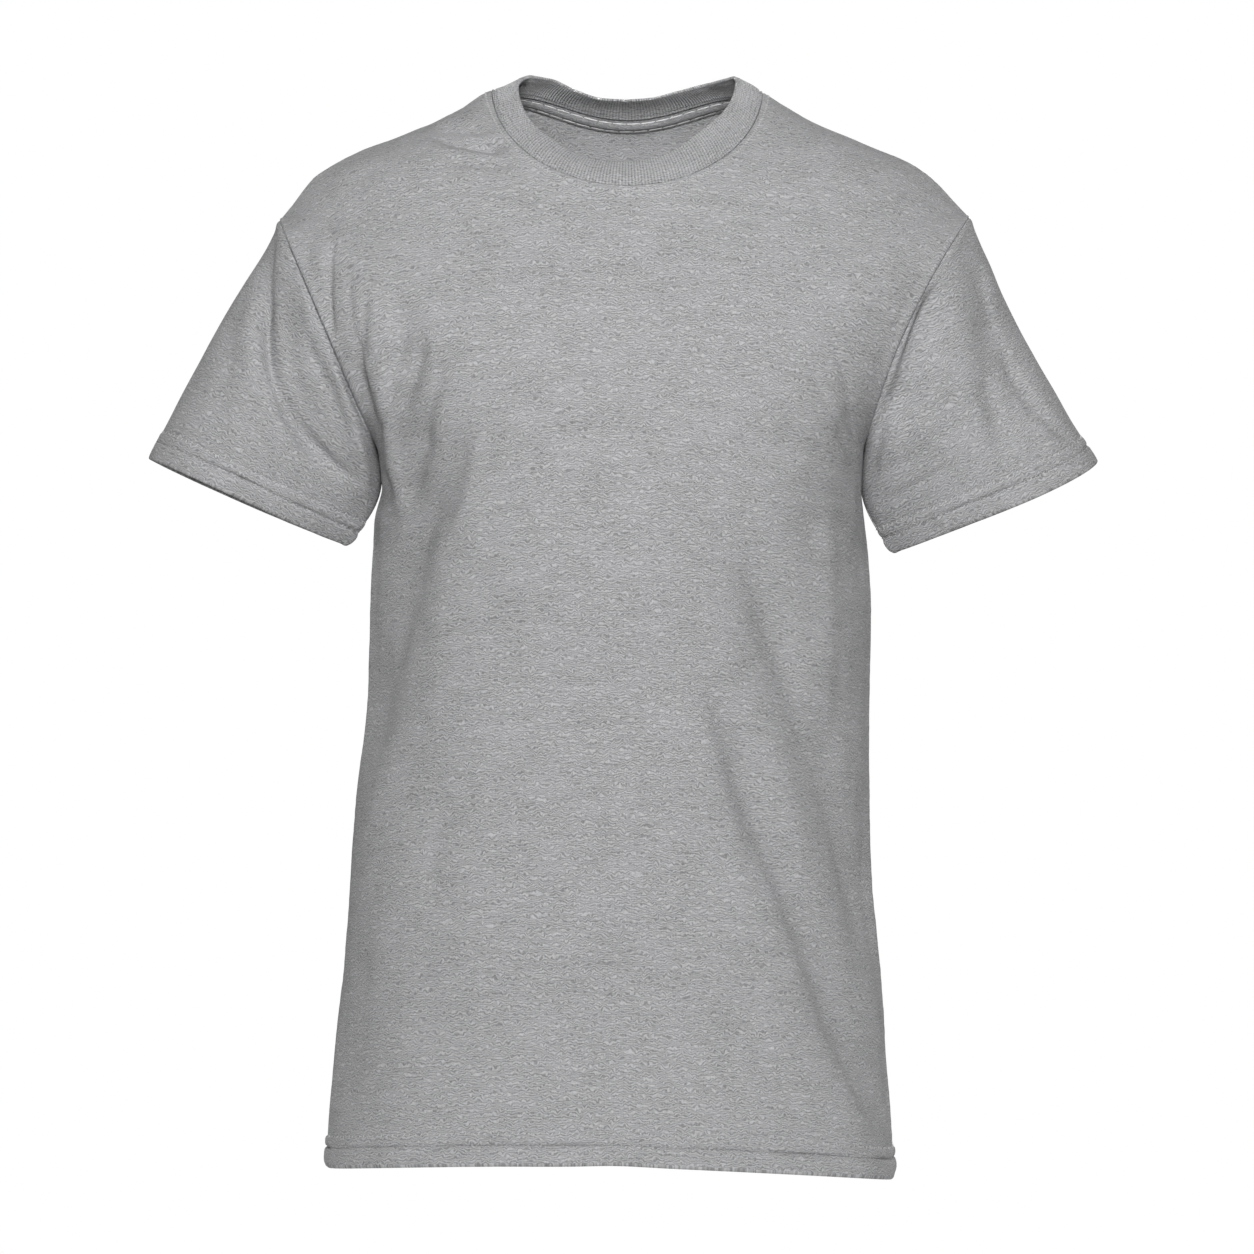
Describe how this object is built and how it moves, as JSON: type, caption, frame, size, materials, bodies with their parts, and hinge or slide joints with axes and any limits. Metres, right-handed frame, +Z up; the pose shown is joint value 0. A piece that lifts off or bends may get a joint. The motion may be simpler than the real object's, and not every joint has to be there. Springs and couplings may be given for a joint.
{
  "type": "crew neck t-shirt",
  "caption": "Short-sleeved crew neck t-shirt in grey heather jersey, hollow and filled out as worn, with a ribbed collar.",
  "frame": {"origin": "midway between the two neck points of the shoulder seams, where a wearer's shoulders hold the shirt up", "axes": "+Z up along the body, the front faces -Y, +X towards the wearer's left"},
  "size_m": [0.6484, 0.2588, 0.7531],
  "materials": {
    "jersey": "matt heather grey single jersey",
    "rib": "matt heather grey 1x1 rib knit",
    "tape": "matt heather grey jersey tape"
  },
  "bodies": {
    "root": {"front": "jersey", "back": "jersey", "sleeve_left": "jersey", "sleeve_right": "jersey", "collar": "rib", "neck_tape": "tape"}
  },
  "joints": []
}
